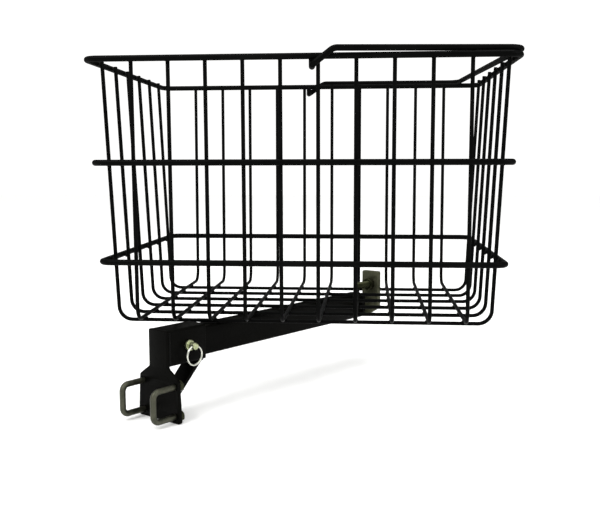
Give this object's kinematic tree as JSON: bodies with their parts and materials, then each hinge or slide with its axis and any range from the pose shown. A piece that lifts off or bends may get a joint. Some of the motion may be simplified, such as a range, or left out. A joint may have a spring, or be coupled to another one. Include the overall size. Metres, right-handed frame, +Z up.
{
  "type": "handlebar basket",
  "caption": "Rectangular black wire basket with a folding bail, carried on a pinned arm that slips into a U-bolted handlebar clamp bracket.",
  "frame": {"origin": "middle of the handlebar's axis, halfway between the two U-bolts", "axes": "+Z up; +X along the basket's long side; +Y from the clamp towards the basket. The arm, and with it the clamp, is turned 35 degrees about Z from this frame at rest, as it lies under the basket; the basket_swivel joint squares them up"},
  "size_m": [0.4227, 0.3968, 0.3588],
  "materials": {
    "black_wire_paint": "semi-gloss black coating over welded steel wire",
    "black_bracket_paint": "satin black powder coat",
    "olive_zinc": "dark olive zinc plating",
    "yellow_zinc": "pale yellow zinc plating",
    "bright_steel": "bright steel wire"
  },
  "bodies": {
    "clamp_and_arm": {"clamp_plate": "black_bracket_paint", "receiver_tube": "black_bracket_paint", "receiver_brace": "black_bracket_paint", "u_bolt_left": "olive_zinc", "u_bolt_right": "olive_zinc", "nut_left_upper": "olive_zinc", "nut_left_lower": "olive_zinc", "nut_right_upper": "olive_zinc", "nut_right_lower": "olive_zinc", "arm_tube": "black_bracket_paint", "arm_lug": "olive_zinc", "lug_bolt": "olive_zinc", "lug_nut": "olive_zinc"},
    "basket": {"top_rim": "black_wire_paint", "middle_hoop": "black_wire_paint", "lower_hoop": "black_wire_paint", "cross_wire_01": "black_wire_paint", "cross_wire_02": "black_wire_paint", "cross_wire_03": "black_wire_paint", "cross_wire_04": "black_wire_paint", "cross_wire_05": "black_wire_paint", "cross_wire_06": "black_wire_paint", "cross_wire_07": "black_wire_paint", "cross_wire_08": "black_wire_paint", "cross_wire_09": "black_wire_paint", "cross_wire_10": "black_wire_paint", "length_wire_1": "black_wire_paint", "length_wire_2": "black_wire_paint", "length_wire_3": "black_wire_paint", "length_wire_4": "black_wire_paint", "length_wire_5": "black_wire_paint", "length_wire_6": "black_wire_paint"},
    "bail": {"bail_handle": "black_wire_paint"},
    "pin": {"quick_release_pin": "yellow_zinc"},
    "ring": {"pin_ring": "bright_steel"}
  },
  "joints": [
    {"name": "basket_swivel", "type": "hinge", "parent": "clamp_and_arm", "child": "basket", "pos_m": [0.21369, 0.27032, 0.0782], "axis": [0, 0, 1], "range_deg": [-70, 0]},
    {"name": "bail_swing", "type": "hinge", "parent": "basket", "child": "bail", "pos_m": [0.14289, 0.18532, 0.319], "axis": [0.0802, -0.9968, 0], "range_deg": [0, 110]},
    {"name": "pin_pull", "type": "slide", "parent": "clamp_and_arm", "child": "pin", "axis": [0.8192, -0.5736, 0], "range_m": [0, 0.04]},
    {"name": "ring_swing", "type": "hinge", "parent": "pin", "child": "ring", "pos_m": [0.04056, 0.02043, 0.05], "axis": [-0.5736, -0.8192, 0], "range_deg": [-20, 200]}
  ]
}
